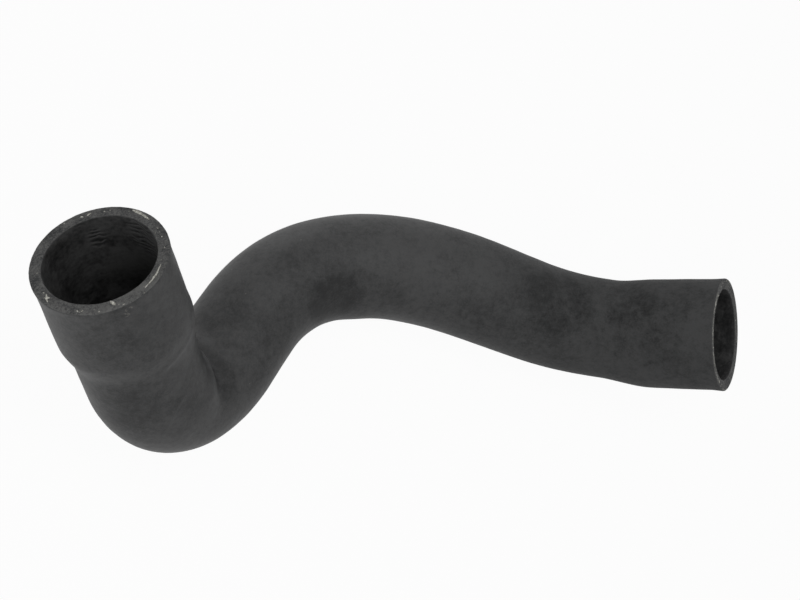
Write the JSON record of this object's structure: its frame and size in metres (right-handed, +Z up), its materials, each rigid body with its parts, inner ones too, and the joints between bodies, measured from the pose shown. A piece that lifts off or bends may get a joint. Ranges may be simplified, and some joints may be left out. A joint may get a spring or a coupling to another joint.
{
  "type": "charge air hose",
  "caption": "Moulded black rubber charge air hose that bends between the wider straight cuffs at its ends.",
  "frame": {"origin": "middle of the hose's box at floor level, with the hose lying on its flat middle stretch", "axes": "+X towards the small cuff along the hose's longest extent, +Z up from the floor"},
  "size_m": [0.3932, 0.1308, 0.1497],
  "materials": {
    "black_rubber": "matt, faintly mottled"
  },
  "bodies": {
    "root": {"charge_air_hose": "black_rubber"}
  },
  "joints": []
}
